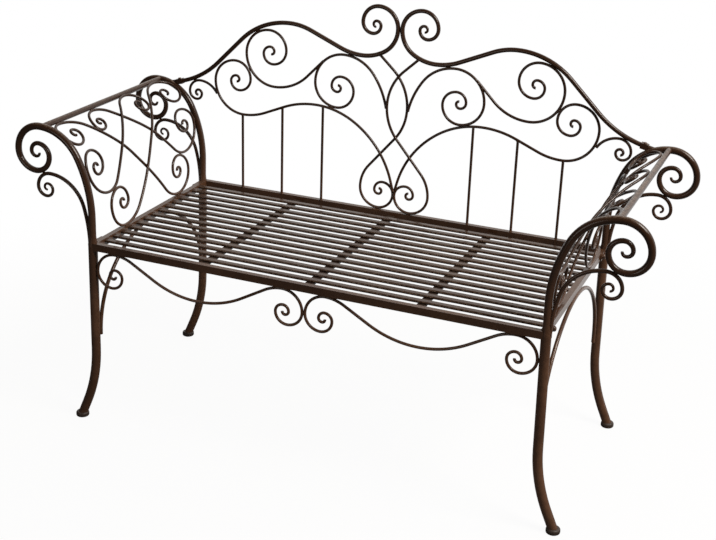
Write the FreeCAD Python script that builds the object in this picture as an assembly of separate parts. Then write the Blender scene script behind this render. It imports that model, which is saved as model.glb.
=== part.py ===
import FreeCAD, Part
import math
import os

Vector = FreeCAD.Vector

# A two-seat garden bench of scrolled steel bars. Sizes are in millimetres and angles in degrees.
# The bench faces -Y and stands on z = 0; x = 0 is its middle and y = 0 lies halfway between the
# front and rear legs. Left and right are as seen from the front.

# Seat frame of rectangular tube, with slats across it
SEAT_TOP = 427.0
SEAT_WIDTH = 993.0
RAIL_WIDTH = 12.0
RAIL_HEIGHT = 16.0
RAIL_WALL = 1.5
RAIL_STAND_OUT = 3.0
SLAT_COUNT = 14
SLAT_END_GAP = 24.4
SLAT_WIDTH = 14.6
SLAT_THICKNESS = 5.5
SLAT_ROUNDING = 2.4
SLAT_DROP = 3.0
BEARER_WIDTH = 18.0
BEARER_THICKNESS = 4.0
BEARER_SPACING = 239.0

# Posts: a tube leg below, a scrolled bar above
LEG_SPACING = 475.0
LEG_INSET = 0.9
LEG_DIAMETER = 20.0
LEG_WALL = 1.5
LEG_LEAN = 1.1
LEG_FLARE_TOP = 176.0
LEG_FLARE_RADIUS = 353.0
LEG_FLARE_TURN = 22.4
NECK_BELOW_SEAT = 9.0
NECK_LENGTH = 22.0
STEM_LENGTH = 39.0
POST_BAR = 15.4
ARM_SWEEP_RADIUS = 281.0
ARM_SWEEP_TURN = 26.0
ARM_CROWN_RADIUS = 101.5
ARM_SCROLL_RADII = (56.0, 42.0, 34.5, 26.0, 17.5, 11.5, 8.0)
ARM_SCROLL_TIP = 5.6
FOOT_SOLE = 3.0
FOOT_DIAMETER = 29.0
FOOT_HEIGHT = 11.5
FOOT_TOP_ROUNDING = 4.5
FOOT_SOLE_ROUNDING = 3.0

# Small scroll that props each arm, and the arm rails
PROP_BAR = 8.0
PROP_STAND_OUT = 0.8
PROP_LEAN_RADIUS = 316.0
PROP_LEAN_TURN = 16.1
PROP_SWEEP_RADIUS = 84.0
PROP_SCROLL_RADII = (31.0, 20.0, 16.0, 12.0, 8.0, 6.0)
PROP_TIP = 4.6
ARM_RAIL_BAR = 12.6
ARM_RAIL_IN = 7.0

# Thin bars of the back, the apron and the arm panels
BAR = 6.2
JOINT_GAP = 0.1

# Arm panels: bars in two layers on a curved sheet that bows outwards
PANEL_UPRIGHT = 11.0
PANEL_LEAN_RADIUS = 537.0
PANEL_KNEE_RISE = 148.0
PANEL_BOW = 15.3
PANEL_SHARE = 0.52
PANEL_LONG_EASE = 1.18
PANEL_LONG_TOP_RADII = (39.2, 32.3, 28.5, 14.0, 10.5, 7.0)
PANEL_LONG_FOOT_RADII = (50.5, 37.0, 30.4, 18.1, 14.0, 8.0, 6.5)
PANEL_LONG_FOOT_Y = 118.4
PANEL_SHORT_EASE = 1.17
PANEL_SHORT_TOP_RADII = (41.0, 17.3, 20.7, 11.0, 8.0, 6.0)
PANEL_SHORT_FOOT_RADII = (62.8, 36.8, 29.3, 25.3, 14.6, 10.4, 8.0)
PANEL_BAR_GAP = 0.3
PANEL_STEP_TURN = 30.0
PANEL_STEP_LENGTH = 60.0

# Arched braces between the front and rear legs
ARCH_BAR = 8.4
ARCH_RISE = 200.0
ARCH_CROWN_TURN = 44.0
ARCH_INSET = 1.0

# Top rail of the back
RAIL_BAR = 10.0
RAIL_TIP = 5.2
RAIL_DIP_RISE = 117.4
RAIL_TURN_RADII = (61.0, 100.0)
RAIL_TURN = 58.5
RAIL_PEAK_IN = 229.0
RAIL_PEAK_RISE = 52.5
RAIL_INNER_EASE = 1.41
RAIL_INNER_SHARE = 0.50
RAIL_OUTER_EASE = 1.47
RAIL_OUTER_SHARE = 0.44
RAIL_END_SLOPE = 12.7
RAIL_END_IN = 56.5
RAIL_END_DROP = 1.0
RAIL_END_RUN = 25.0
RAIL_SCROLL_RADII = (46.0, 37.0, 24.0, 18.5, 10.0, 7.5, 6.0)

# Wave rail of the back, carried by spindles
WAVE_TROUGH_IN = 113.7
WAVE_TROUGH_DROP = 57.4
WAVE_CREST_SHARE = 0.4014
WAVE_RISE = 48.0
WAVE_EASE = 1.56
WAVE_SHARE = 0.41
WAVE_FALL_SHARES = (0.3716, 0.4361)
WAVE_FALL_TURNS = (31.3, 43.5)
WAVE_END_SEAT = 0.9
WAVE_SCROLL_RADII = (74.0, 52.5, 39.5, 30.0, 21.0, 13.5, 8.0, 6.0)
SPINDLE_BAR = 6.0
SPINDLE_SHARES = (0.3615, 0.568, 0.7764)

# Crossing ogee bars in the middle of the back
OGEE_FOOT_RADII = (36.5, 26.0, 19.5, 10.0, 7.5, 6.0)
OGEE_SWELL_RADII = (44.5, 81.5)
OGEE_SLOPE = 40.4
OGEE_WAIST_RADIUS = 114.5
OGEE_WAIST = 23.0
OGEE_TOP_TURN = 47.5

# Scrolls between the wave rail and the top rail
C_SCROLL_X = 131.8
C_SCROLL_RADII = (69.5, 54.0, 41.0, 31.5, 22.5, 13.5, 9.0, 6.5)
C_SCROLL_TAIL_RADII = (91.0, 184.0)
C_SCROLL_TAIL_TURNS = (53.5, 25.0)
S_SCROLL_IN = 192.5
S_SCROLL_RADII = (72.5, 58.0, 43.5, 34.5, 23.0, 17.0, 10.0, 7.0)
S_SCROLL_TAIL_RADIUS = 114.5
S_SCROLL_TAIL_TURN = 45.5
EDGE_SCROLL_IN = 57.4
EDGE_SCROLL_RADII = (28.0, 18.0, 14.0, 9.0, 7.0, 5.5)
EDGE_SCROLL_TAIL_RADIUS = 52.5
EDGE_SCROLL_TAIL_TURN = 60.0

# Apron under the front rail
APRON_DROP = 67.5
APRON_EASE = 1.55
APRON_SHARE = 0.72
APRON_SCROLL_RADII = (44.0, 33.5, 26.0, 16.5, 13.0, 8.0, 6.0)

# Fastenings of the seat to the legs, and of the top rail to the rear posts
LUG_THICKNESS = 3.0
LUG_REACH = 42.0
LUG_ROUNDING = 5.0
BOLT_FROM_LEG = 31.5
BOLT_DIAMETER = 6.0
BOLT_LENGTH = 11.0
BOLT_FIT = 0.2
BOLT_HEAD_DIAMETER = 11.0
BOLT_HEAD_HEIGHT = 6.0
BOLT_HEAD_ROUNDING = 4.0
WASHER_DIAMETER = 13.0
WASHER_THICKNESS = 1.2
SLEEVE_SIZE = 12.4
SLEEVE_LENGTH = 16.0
SLEEVE_PAST_END = 5.0
SCREW_DIAMETER = 5.0
SCREW_HEAD_DIAMETER = 7.5
SCREW_HEAD_HEIGHT = 2.4
SCREW_HEAD_ROUNDING = 1.4

# Places worked out from the sizes
LEG_Y = LEG_SPACING / 2
HALF_WIDTH = SEAT_WIDTH / 2
LEG_X = HALF_WIDTH - LEG_INSET
RAIL_Y = LEG_Y + RAIL_STAND_OUT
RAIL_INSIDE_Y = RAIL_Y - RAIL_WIDTH / 2
RAIL_OUTSIDE_Y = RAIL_Y + RAIL_WIDTH / 2
SLAT_END_Y = RAIL_INSIDE_Y - SLAT_END_GAP - SLAT_WIDTH / 2
SLAT_PITCH = 2 * SLAT_END_Y / (SLAT_COUNT - 1)
SIDE_INSIDE_X = HALF_WIDTH - RAIL_WIDTH
SIDE_RAIL_X = HALF_WIDTH - RAIL_WIDTH / 2
SEAT_UNDERSIDE = SEAT_TOP - RAIL_HEIGHT
NECK_Z = SEAT_TOP - NECK_BELOW_SEAT
RAIL_PEAK_X = HALF_WIDTH - RAIL_PEAK_IN
WAVE_TROUGH_X = HALF_WIDTH - WAVE_TROUGH_IN
WAVE_CREST_X = HALF_WIDTH * WAVE_CREST_SHARE
S_SCROLL_X = HALF_WIDTH - S_SCROLL_IN
LAYER = (BAR + JOINT_GAP) / 2

# How often a search halves its range, and how often a place found by trial is found again
HALVINGS = 40
ROUNDS = 3


def sin(angle):
    return math.sin(math.radians(angle))


def cos(angle):
    return math.cos(math.radians(angle))


# Paths over a plane: a path is a list of stretches (point, heading, size, turn)

def run(length):
    """A straight stretch."""
    return (length, None)


def bend(radius, turn):
    """A tangent arc; a turn to the left is positive."""
    return (radius, turn)


def curl(radii, side):
    """A volute of shrinking quarter turns, to the left (1) or to the right (-1)."""
    return [bend(radius, 90 * side) for radius in radii]


def ahead(point, heading, length):
    return (point[0] + length * cos(heading), point[1] + length * sin(heading))


def swing(point, heading, radius, turn):
    reach = math.copysign(radius, turn)
    across = reach * (sin(heading + turn) - sin(heading))
    along = reach * (cos(heading + turn) - cos(heading))
    return (point[0] + across, point[1] - along)


def station(stretch, share):
    """Point and heading at a share of a stretch's length."""
    point, heading, size, turn = stretch
    if turn is None:
        return ahead(point, heading, size * share), heading
    return swing(point, heading, size, turn * share), heading + turn * share


def trace(point, heading, moves):
    """The path that moves make from a point, setting out at a heading."""
    path = []
    for size, turn in moves:
        path.append((point, heading, size, turn))
        point, heading = station(path[-1], 1)
    return path


def end_of(path):
    return station(path[-1], 1)[0]


def two_way(point, heading, back_moves, fore_moves):
    """A path through a point, traced from there both backwards and forwards."""
    path = []
    for stretch in reversed(trace(point, heading + 180, back_moves)):
        end, end_heading = station(stretch, 1)
        turn = stretch[3]
        path.append((end, end_heading + 180, stretch[2], turn if turn is None else -turn))
    return path + trace(point, heading, fore_moves)


def sway(reach, rise, ease, share, slope=0.0):
    """Steepest angle, straight run and two radii of an S-curve from level to a slope.

    The steepest angle is the chord's times ease, and share is the first radius's part of the two.
    """
    steep = ease * math.degrees(math.atan2(rise, reach))
    across = sin(steep) - (1 - share) * sin(slope)
    up = share + (1 - share) * cos(slope) - cos(steep)
    radii = (reach * sin(steep) - rise * cos(steep)) / (across * sin(steep) - up * cos(steep))
    straight = (rise - radii * up) / sin(steep)
    return steep, straight, share * radii, (1 - share) * radii


def solve(function, low, high):
    """The value between low and high where a rising function passes zero."""
    for _ in range(HALVINGS):
        middle = (low + high) / 2
        if function(middle) > 0:
            high = middle
        else:
            low = middle
    return low


# Bars along paths

def upright(y):
    """Sets a path's plane upright across the bench."""
    return lambda point: Vector(point[0], y, point[1])


def chain(path, place):
    """Straight and round edges of a path set in space."""
    edges = []
    for stretch in path:
        begin, middle, end = [place(station(stretch, share)[0]) for share in (0, 0.5, 1)]
        if stretch[3] is None:
            edges.append(Part.LineSegment(begin, end).toShape())
        else:
            edges.append(Part.Arc(begin, middle, end).toShape())
    return edges


def ring(edge, parameter, diameter):
    circle = Part.makeCircle(diameter / 2, edge.valueAt(parameter), edge.tangentAt(parameter))
    return Part.Wire(circle)


def bar_along(edges, diameter):
    """A round bar of one thickness."""
    return Part.Wire(edges).makePipeShell([ring(edges[0], edges[0].FirstParameter, diameter)], True)


def tapered_bar(edges, diameters):
    """A round bar that changes thickness evenly along each stretch."""
    lengths = []
    for edge, begin, end in zip(edges, diameters, diameters[1:]):
        rings = [ring(edge, edge.FirstParameter, begin)]
        if end != begin:
            rings.append(ring(edge, edge.LastParameter, end))
        lengths.append(Part.Wire([edge]).makePipeShell(rings, True))
    return lengths[0].multiFuse(lengths[1:]).Solids[0]


def thinning(start, tip, count):
    """Diameters that shrink evenly from start to tip over a number of stretches."""
    return [start + (tip - start) * step / count for step in range(count + 1)]


def cope(bar, *others):
    """Shapes a bar to the pieces it is welded to, and drops the offcut."""
    return max(bar.cut(list(others)).Solids, key=lambda solid: solid.Volume)


def flip(shape):
    """The matching piece of the other half."""
    return shape.mirror(Vector(0, 0, 0), Vector(1, 0, 0))


def box(low, high):
    size = Vector(*high) - Vector(*low)
    return Part.makeBox(size.x, size.y, size.z, Vector(*low))


parts = {}


def pair(name, right):
    """Files a right-hand piece and its mirror image."""
    parts[name + "_right"] = right
    parts[name + "_left"] = flip(right)


# Posts: flared tube leg, neck, arm and scroll along one path in an upright plane

def leg_x(z):
    """Centre of the straight part of the leg at a height."""
    return LEG_X + (SEAT_TOP - z) * math.tan(math.radians(LEG_LEAN))


foot_slope = LEG_LEAN + LEG_FLARE_TURN
flare_end_z = LEG_FLARE_TOP - LEG_FLARE_RADIUS * (sin(foot_slope) - sin(LEG_LEAN))
leg_end_z = FOOT_SOLE + LEG_DIAMETER / 2 * sin(foot_slope)
leg_moves = [
    run((NECK_Z - LEG_FLARE_TOP) / cos(LEG_LEAN)),
    bend(LEG_FLARE_RADIUS, LEG_FLARE_TURN),
    run((flare_end_z - leg_end_z) / cos(foot_slope)),
]
arm_moves = [
    run(NECK_LENGTH),
    run(STEM_LENGTH),
    bend(ARM_SWEEP_RADIUS, -ARM_SWEEP_TURN - LEG_LEAN),
    bend(ARM_CROWN_RADIUS, ARM_SWEEP_TURN - 90),
]
neck = (leg_x(NECK_Z), NECK_Z)
up_leg = 90 + LEG_LEAN
arm_top = end_of(trace(neck, up_leg, arm_moves))
arm_line = Part.Wire(chain(trace(neck, up_leg, arm_moves), upright(0)))
post_path = two_way(neck, up_leg, leg_moves, arm_moves + curl(ARM_SCROLL_RADII, -1))
scroll_diameters = thinning(POST_BAR, ARM_SCROLL_TIP, len(ARM_SCROLL_RADII))
post_diameters = [LEG_DIAMETER] * (len(leg_moves) + 1) + [POST_BAR] * (len(arm_moves) - 1)
post_diameters += scroll_diameters
leg_bore = bar_along(chain(post_path[:len(leg_moves)], upright(0)), LEG_DIAMETER - 2 * LEG_WALL)
post = tapered_bar(chain(post_path, upright(0)), post_diameters).cut(leg_bore).Solids[0]

# Feet: round pads on the ends of the legs, flat on the ground
leg_end = upright(0)(post_path[0][0])
foot_axis = Vector(-sin(foot_slope), 0, cos(foot_slope))
foot_centre = leg_end + foot_axis * ((FOOT_HEIGHT / 2 - leg_end.z) / cos(foot_slope))
foot_pad = Part.makeCylinder(FOOT_DIAMETER / 2, FOOT_HEIGHT, Vector(foot_centre.x, 0, 0))
for height, rounding in ((FOOT_HEIGHT, FOOT_TOP_ROUNDING), (0, FOOT_SOLE_ROUNDING)):
    level = [edge for edge in foot_pad.Edges if edge.BoundBox.ZLength < JOINT_GAP]
    rim = [edge for edge in level if abs(edge.CenterOfMass.z - height) < JOINT_GAP]
    foot_pad = foot_pad.makeFillet(rounding, rim)
foot_socket = Part.makeCylinder(LEG_DIAMETER / 2, 2 * FOOT_HEIGHT, leg_end, foot_axis)
foot = cope(foot_pad, foot_socket)

posts = {}
for row, y in (("front", -LEG_Y), ("rear", LEG_Y)):
    posts[row] = post.translated(Vector(0, y, 0))
    pair(row + "_post", posts[row])
    pair(row + "_foot", foot.translated(Vector(0, y, 0)))

# Prop scrolls: each leaves its leg's side and curls up under the arm's scroll
prop_base = ahead(neck, LEG_LEAN, (LEG_DIAMETER - PROP_BAR) / 2 + PROP_STAND_OUT)
prop_bends = [
    bend(PROP_LEAN_RADIUS, -PROP_LEAN_TURN),
    bend(PROP_SWEEP_RADIUS, PROP_LEAN_TURN - up_leg),
]
prop_trial = end_of(trace(prop_base, up_leg, prop_bends))
scroll_low = end_of(trace(arm_top, 0, curl(ARM_SCROLL_RADII, -1)[:2]))
scroll_centre_z = scroll_low[1] + ARM_SCROLL_RADII[2]
prop_reach = ARM_SCROLL_RADII[2] + PROP_SCROLL_RADII[0] + JOINT_GAP
prop_reach += (scroll_diameters[2] + PROP_BAR) / 2
prop_drop = math.sqrt(prop_reach ** 2 - (scroll_low[0] - prop_trial[0]) ** 2)
prop_top_z = scroll_centre_z - prop_drop + PROP_SCROLL_RADII[0]
prop_foot = ahead(prop_base, up_leg, (prop_top_z - prop_trial[1]) / cos(LEG_LEAN))
prop_path = trace(prop_foot, up_leg, prop_bends + curl(PROP_SCROLL_RADII, -1))
prop_diameters = [PROP_BAR] * len(prop_bends) + thinning(PROP_BAR, PROP_TIP, len(PROP_SCROLL_RADII))
prop = cope(tapered_bar(chain(prop_path, upright(0)), prop_diameters), post)
pair("front_prop_scroll", prop.translated(Vector(0, -LEG_Y, 0)))
pair("rear_prop_scroll", prop.translated(Vector(0, LEG_Y, 0)))

# Arm rails, from each front arm to the rear one, a little inside the crowns
crown_fall = ARM_CROWN_RADIUS - math.sqrt(ARM_CROWN_RADIUS ** 2 - ARM_RAIL_IN ** 2)
rail_centre = (arm_top[0] - ARM_RAIL_IN, arm_top[1] - crown_fall)
arm_rail_start = Vector(rail_centre[0], -LEG_Y, rail_centre[1])
arm_rail = Part.makeCylinder(ARM_RAIL_BAR / 2, LEG_SPACING, arm_rail_start, Vector(0, 1, 0))
pair("arm_rail", cope(arm_rail, posts["front"], posts["rear"]))

# Seat rails, coped to the legs
leg_blanks = []
for side in (-1, 1):
    for y in (-LEG_Y, LEG_Y):
        base = Vector(side * leg_x(SEAT_UNDERSIDE - RAIL_HEIGHT), y, SEAT_UNDERSIDE - RAIL_HEIGHT)
        axis = Vector(-side * sin(LEG_LEAN), 0, cos(LEG_LEAN))
        leg_blanks.append(Part.makeCylinder(LEG_DIAMETER / 2, 3 * RAIL_HEIGHT, base, axis))


def rail_tube(low, high, along):
    """A rectangular tube along x (0) or y (1)."""
    bore_low = [value + RAIL_WALL for value in low]
    bore_high = [value - RAIL_WALL for value in high]
    bore_low[along] = low[along]
    bore_high[along] = high[along]
    return box(low, high).cut(box(bore_low, bore_high))


front_rail = rail_tube((-LEG_X, -RAIL_OUTSIDE_Y, SEAT_UNDERSIDE), (LEG_X, -RAIL_INSIDE_Y, SEAT_TOP), 0)
rear_rail = rail_tube((-LEG_X, RAIL_INSIDE_Y, SEAT_UNDERSIDE), (LEG_X, RAIL_OUTSIDE_Y, SEAT_TOP), 0)
side_rail = rail_tube(
    (SIDE_INSIDE_X, -RAIL_INSIDE_Y, SEAT_UNDERSIDE), (HALF_WIDTH, RAIL_INSIDE_Y, SEAT_TOP), 1)
parts["front_seat_rail"] = cope(front_rail, *leg_blanks)
parts["rear_seat_rail"] = cope(rear_rail, *leg_blanks)

# Lugs on the legs, bolted to the outer faces of the side rails
bolt_z = SEAT_TOP - RAIL_HEIGHT / 2
lug_face = HALF_WIDTH + LUG_THICKNESS
washer_face = lug_face + WASHER_THICKNESS


def rod(diameter, x, length, y):
    """A cylinder across the side rail at the height of the bolts."""
    return Part.makeCylinder(diameter / 2, length, Vector(x, y, bolt_z), Vector(1, 0, 0))


def domed(head, face_x, rounding):
    """A bolt head with its outer rim rounded."""
    rim = [edge for edge in head.Edges if edge.BoundBox.XMin > face_x]
    return head.makeFillet(rounding, rim)


lugs = []
washers = []
bolts = []
for side in (-1, 1):
    y = side * (LEG_Y - BOLT_FROM_LEG)
    hole = rod(BOLT_DIAMETER + BOLT_FIT, HALF_WIDTH - RAIL_WALL, LUG_REACH, y)
    lug_start, lug_end = sorted((side * LEG_Y, side * (LEG_Y - LUG_REACH)))
    lug = box((HALF_WIDTH, lug_start, SEAT_UNDERSIDE), (lug_face, lug_end, SEAT_TOP))
    tip = [edge for edge in lug.Edges if edge.BoundBox.XLength > LUG_THICKNESS / 2]
    tip = [edge for edge in tip if abs(edge.CenterOfMass.y) < LEG_Y - BOLT_FROM_LEG]
    lugs.append(cope(lug.makeFillet(LUG_ROUNDING, tip), hole, *leg_blanks))
    washers.append(rod(WASHER_DIAMETER, lug_face, WASHER_THICKNESS, y).cut(hole).Solids[0])
    head = rod(BOLT_HEAD_DIAMETER, washer_face, BOLT_HEAD_HEIGHT, y)
    head = domed(head, washer_face + BOLT_HEAD_HEIGHT / 2, BOLT_HEAD_ROUNDING)
    bolts.append(head.fuse(rod(BOLT_DIAMETER, washer_face - BOLT_LENGTH, BOLT_LENGTH, y)).Solids[0])
    side_rail = side_rail.cut(hole)
pair("side_seat_rail", cope(side_rail, *leg_blanks))
for name, solids in (("seat_lugs", lugs), ("seat_washers", washers), ("seat_bolts", bolts)):
    parts[name] = Part.makeCompound(solids + [flip(solid) for solid in solids])

# Seat slats between the side rails, and the bearers beneath them
slat_top = SEAT_TOP - SLAT_DROP
slat_underside = slat_top - SLAT_THICKNESS
slats = []
for index in range(SLAT_COUNT):
    y = index * SLAT_PITCH - SLAT_END_Y
    slat = box((-SIDE_INSIDE_X, y - SLAT_WIDTH / 2, slat_underside),
               (SIDE_INSIDE_X, y + SLAT_WIDTH / 2, slat_top))
    long_edges = [edge for edge in slat.Edges if edge.Length > SIDE_INSIDE_X]
    slats.append(slat.makeFillet(SLAT_ROUNDING, long_edges))
parts["seat_slats"] = Part.makeCompound(slats)
for name, x in (("left", -BEARER_SPACING), ("middle", 0.0), ("right", BEARER_SPACING)):
    parts["seat_bearer_" + name] = box(
        (x - BEARER_WIDTH / 2, -RAIL_INSIDE_Y, slat_underside - BEARER_THICKNESS),
        (x + BEARER_WIDTH / 2, RAIL_INSIDE_Y, slat_underside))

# Arched braces: a flat crown under the side rail, falling upright against the legs
arch_x = HALF_WIDTH - ARCH_INSET
arch_top_z = SEAT_UNDERSIDE - ARCH_BAR / 2 - JOINT_GAP
arch_touch = (LEG_DIAMETER + ARCH_BAR) / 2 + JOINT_GAP
arch_aside = leg_x(arch_top_z - ARCH_RISE) - arch_x
arch_half = LEG_Y - math.sqrt(arch_touch ** 2 - arch_aside ** 2)
arch_divisor = sin(ARCH_CROWN_TURN) + cos(ARCH_CROWN_TURN) - 1
arch_crown = arch_half * cos(ARCH_CROWN_TURN) - ARCH_RISE * (1 - sin(ARCH_CROWN_TURN))
arch_haunch = ARCH_RISE * sin(ARCH_CROWN_TURN) - arch_half * (1 - cos(ARCH_CROWN_TURN))
arch_bends = [
    (arch_crown / arch_divisor, ARCH_CROWN_TURN),
    (arch_haunch / arch_divisor, 90 - ARCH_CROWN_TURN),
]
arch_path = two_way(
    (0, arch_top_z), 0, arch_bends, [bend(radius, -turn) for radius, turn in arch_bends])
pair("arch_brace", bar_along(chain(arch_path, lambda point: Vector(arch_x, *point)), ARCH_BAR))

# Arm panels: their sheet rises from the side rail, leans out and curls over to the arm rail
panel_lean = math.degrees(math.asin(PANEL_KNEE_RISE / PANEL_LEAN_RADIUS))
panel_knee = swing((SIDE_RAIL_X, SEAT_TOP + PANEL_UPRIGHT), 90, PANEL_LEAN_RADIUS, -panel_lean)
knee_length = PANEL_UPRIGHT + PANEL_LEAN_RADIUS * math.radians(panel_lean)
knee_chord = (rail_centre[0] - panel_knee[0], rail_centre[1] - panel_knee[1])
knee_turn = 2 * (math.degrees(math.atan2(*knee_chord)) - panel_lean)
knee_radius = math.hypot(*knee_chord) / 2 / sin(knee_turn / 2)
panel_length = knee_length + knee_radius * math.radians(knee_turn)
post_reach = (POST_BAR + BAR) / 2 + JOINT_GAP
arm_rail_reach = (ARM_RAIL_BAR + BAR) / 2 + JOINT_GAP


def panel_profile(length):
    """Point and outward lean of the panel's sheet at a distance up from the side rail."""
    if length < PANEL_UPRIGHT:
        return (SIDE_RAIL_X, SEAT_TOP + length), 0.0
    if length < knee_length:
        lean = math.degrees((length - PANEL_UPRIGHT) / PANEL_LEAN_RADIUS)
        return swing((SIDE_RAIL_X, SEAT_TOP + PANEL_UPRIGHT), 90, PANEL_LEAN_RADIUS, -lean), lean
    turn = math.degrees((length - knee_length) / knee_radius)
    return swing(panel_knee, 90 - panel_lean, knee_radius, -turn), panel_lean + turn


def panel_sheet(layer):
    """Sets a point (y, distance up the sheet) on the outer (1) or inner (-1) layer.

    The inner layer's bars are the outer layer's turned front to back.
    """
    def place(point):
        (x, z), lean = panel_profile(point[1])
        bow = PANEL_BOW * sin(180 * (point[1] / panel_length) ** 2) * (1 - (point[0] / LEG_Y) ** 2)
        out = layer * LAYER + bow
        return Vector(x + out * cos(lean), layer * point[0], z - out * sin(lean))
    return place


def side_touch(place, length):
    """Distance from the middle at which a bar on the sheet touches a post."""
    y = LEG_Y
    for _ in range(ROUNDS):
        point = place((y, length))
        aside = Part.Vertex(point.x, 0, point.z).distToShape(arm_line)[0]
        y = LEG_Y - math.sqrt(max(0, post_reach ** 2 - aside ** 2))
    return y


def top_touch(place, y):
    """Distance up the sheet at which a bar touches the arm rail."""
    def overlap(length):
        point = place((y, length))
        return arm_rail_reach - math.hypot(point.x - rail_centre[0], point.z - rail_centre[1])
    return solve(overlap, knee_length, panel_length)


def panel_bar(top, foot, ease, top_radii, foot_radii):
    """A bar that curls over at its top, crosses the panel and curls up at its foot."""
    steep, straight, upper, lower = sway(foot[0] - top[0], top[1] - foot[1], ease, PANEL_SHARE)
    falling = [bend(upper, -steep), run(straight), bend(lower, steep)]
    return two_way(top, 0, curl(top_radii, 1), falling + curl(foot_radii, 1))


def long_bar(place):
    """The bar from the front post's top corner to the side rail."""
    radius = PANEL_LONG_TOP_RADII[0]
    top = top_touch(place, radius - LEG_Y + post_reach)
    top_y = radius - side_touch(place, top - radius)
    foot = (PANEL_LONG_FOOT_Y, BAR / 2 + JOINT_GAP)
    return panel_bar((top_y, top), foot, PANEL_LONG_EASE, PANEL_LONG_TOP_RADII, PANEL_LONG_FOOT_RADII)


def short_bar(place, neighbour):
    """The bar from the arm rail to the rear post, resting on the long bar at its top and foot."""
    crown, curve = PANEL_SHORT_TOP_RADII[:2]
    line_point, line_heading = neighbour[[stretch[3] for stretch in neighbour].index(None)][:2]
    top_y = line_point[0]
    for _ in range(ROUNDS):
        top = top_touch(place, top_y)
        above = top - crown - line_point[1]
        gap = curve + BAR + PANEL_BAR_GAP - above * cos(line_heading)
        top_y = line_point[0] - gap / sin(line_heading) + crown - curve
    radius = PANEL_SHORT_FOOT_RADII[0]
    volute = Part.Wire(chain(neighbour[-len(PANEL_LONG_FOOT_RADII):], upright(0)))

    def lowered(height):
        foot = (side_touch(place, height + radius) - radius, height)
        return panel_bar(
            (top_y, top), foot, PANEL_SHORT_EASE, PANEL_SHORT_TOP_RADII, PANEL_SHORT_FOOT_RADII)

    def clearance(height):
        path = lowered(height)[len(PANEL_SHORT_TOP_RADII):]
        return Part.Wire(chain(path, upright(0))).distToShape(volute)[0] - BAR - PANEL_BAR_GAP
    foot_top = sum(PANEL_LONG_FOOT_RADII[:2])
    return lowered(solve(clearance, foot_top - radius / 2, foot_top + radius / 2))


def arc_leaving(begin, direction, end):
    """Middle of the arc that leaves its beginning in a direction and reaches its end."""
    chord = end - begin
    along = Vector(chord).normalize()
    across = direction - along * direction.dot(along)
    half_turn = math.atan2(across.Length, direction.dot(along))
    return (begin + end) / 2 + across.normalize() * (chord.Length / 2 * math.tan(half_turn / 2))


def tangent_arcs(begin, leaving, end, arriving):
    """Two arcs that join two points smoothly in given directions."""
    chord = end - begin
    both = chord.dot(leaving + arriving)
    spread = 2 * (1 - leaving.dot(arriving))
    reach = (math.sqrt(both ** 2 + spread * chord.dot(chord)) - both) / spread
    joint = (begin + end + (leaving - arriving) * reach) / 2
    first = Part.Arc(begin, arc_leaving(begin, leaving, joint), joint)
    second = Part.Arc(joint, arc_leaving(end, -arriving, joint), end)
    return [first.toShape(), second.toShape()]


def drape(path, place):
    """Edges of a path laid on a curved sheet."""
    spots = []
    for stretch in path:
        size, turn = stretch[2:]
        steps = math.ceil(size / PANEL_STEP_LENGTH if turn is None else abs(turn) / PANEL_STEP_TURN)
        spots += [station(stretch, step / steps) for step in range(steps)]
    spots.append(station(path[-1], 1))
    points = []
    for point, heading in spots:
        direction = place(ahead(point, heading, JOINT_GAP)) - place(ahead(point, heading, -JOINT_GAP))
        points.append((place(point), direction.normalize()))
    edges = []
    for begin, end in zip(points, points[1:]):
        edges += tangent_arcs(*begin, *end)
    return edges


for name, layer in (("outer", 1), ("inner", -1)):
    sheet = panel_sheet(layer)
    long_path = long_bar(sheet)
    short_path = short_bar(sheet, long_path)
    pair("panel_long_bar_" + name, bar_along(drape(long_path, sheet), BAR))
    pair("panel_short_bar_" + name, bar_along(drape(short_path, sheet), BAR))

# Top rail: a scroll at the middle, a dip, a peak and a fall to the rear post
rail_end = (arm_top[0] - RAIL_END_IN, arm_top[1] - RAIL_END_DROP)
dip_z = rail_end[1] + RAIL_DIP_RISE
rail_turns = [bend(RAIL_TURN_RADII[0], RAIL_TURN), bend(RAIL_TURN_RADII[1], 90 - RAIL_TURN)]
dip = end_of(trace((RAIL_BAR / 2 + JOINT_GAP / 2, 0), -90, rail_turns))
rail_meet = (RAIL_BAR / 2 + JOINT_GAP / 2, dip_z - dip[1])
steep_in, straight_in, dip_radius, inner_radius = sway(
    RAIL_PEAK_X - dip[0], RAIL_PEAK_RISE, RAIL_INNER_EASE, RAIL_INNER_SHARE)
peak_z = dip_z + RAIL_PEAK_RISE
steep_out, straight_out, outer_radius, fall_radius = sway(
    rail_end[0] - RAIL_PEAK_X, peak_z - rail_end[1], RAIL_OUTER_EASE, RAIL_OUTER_SHARE, RAIL_END_SLOPE)
rail_moves = rail_turns + [
    bend(dip_radius, steep_in),
    run(straight_in),
    bend(inner_radius, -steep_in),
    bend(outer_radius, -steep_out),
    run(straight_out),
    bend(fall_radius, steep_out - RAIL_END_SLOPE),
    run(RAIL_END_RUN),
]
rail_path = two_way(rail_meet, 90, rail_moves, curl(RAIL_SCROLL_RADII, -1))
rail_edges = chain(rail_path, upright(RAIL_Y))
rail_line = Part.Wire(rail_edges)
rail_diameters = [RAIL_BAR] * len(rail_moves) + thinning(RAIL_BAR, RAIL_TIP, len(RAIL_SCROLL_RADII))
top_rail = cope(tapered_bar(rail_edges, rail_diameters), posts["rear"])
pair("top_rail", top_rail)


def meeting(point, heading, other):
    """How far a straight line from a point runs until it meets another line of the back."""
    line = chain(trace(point, heading, [run(peak_z)]), upright(RAIL_Y))[0]
    spots = [spot for spot, _ in line.distToShape(other)[1]]
    return min(upright(RAIL_Y)(point).distanceToPoint(spot) for spot in spots)


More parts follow.
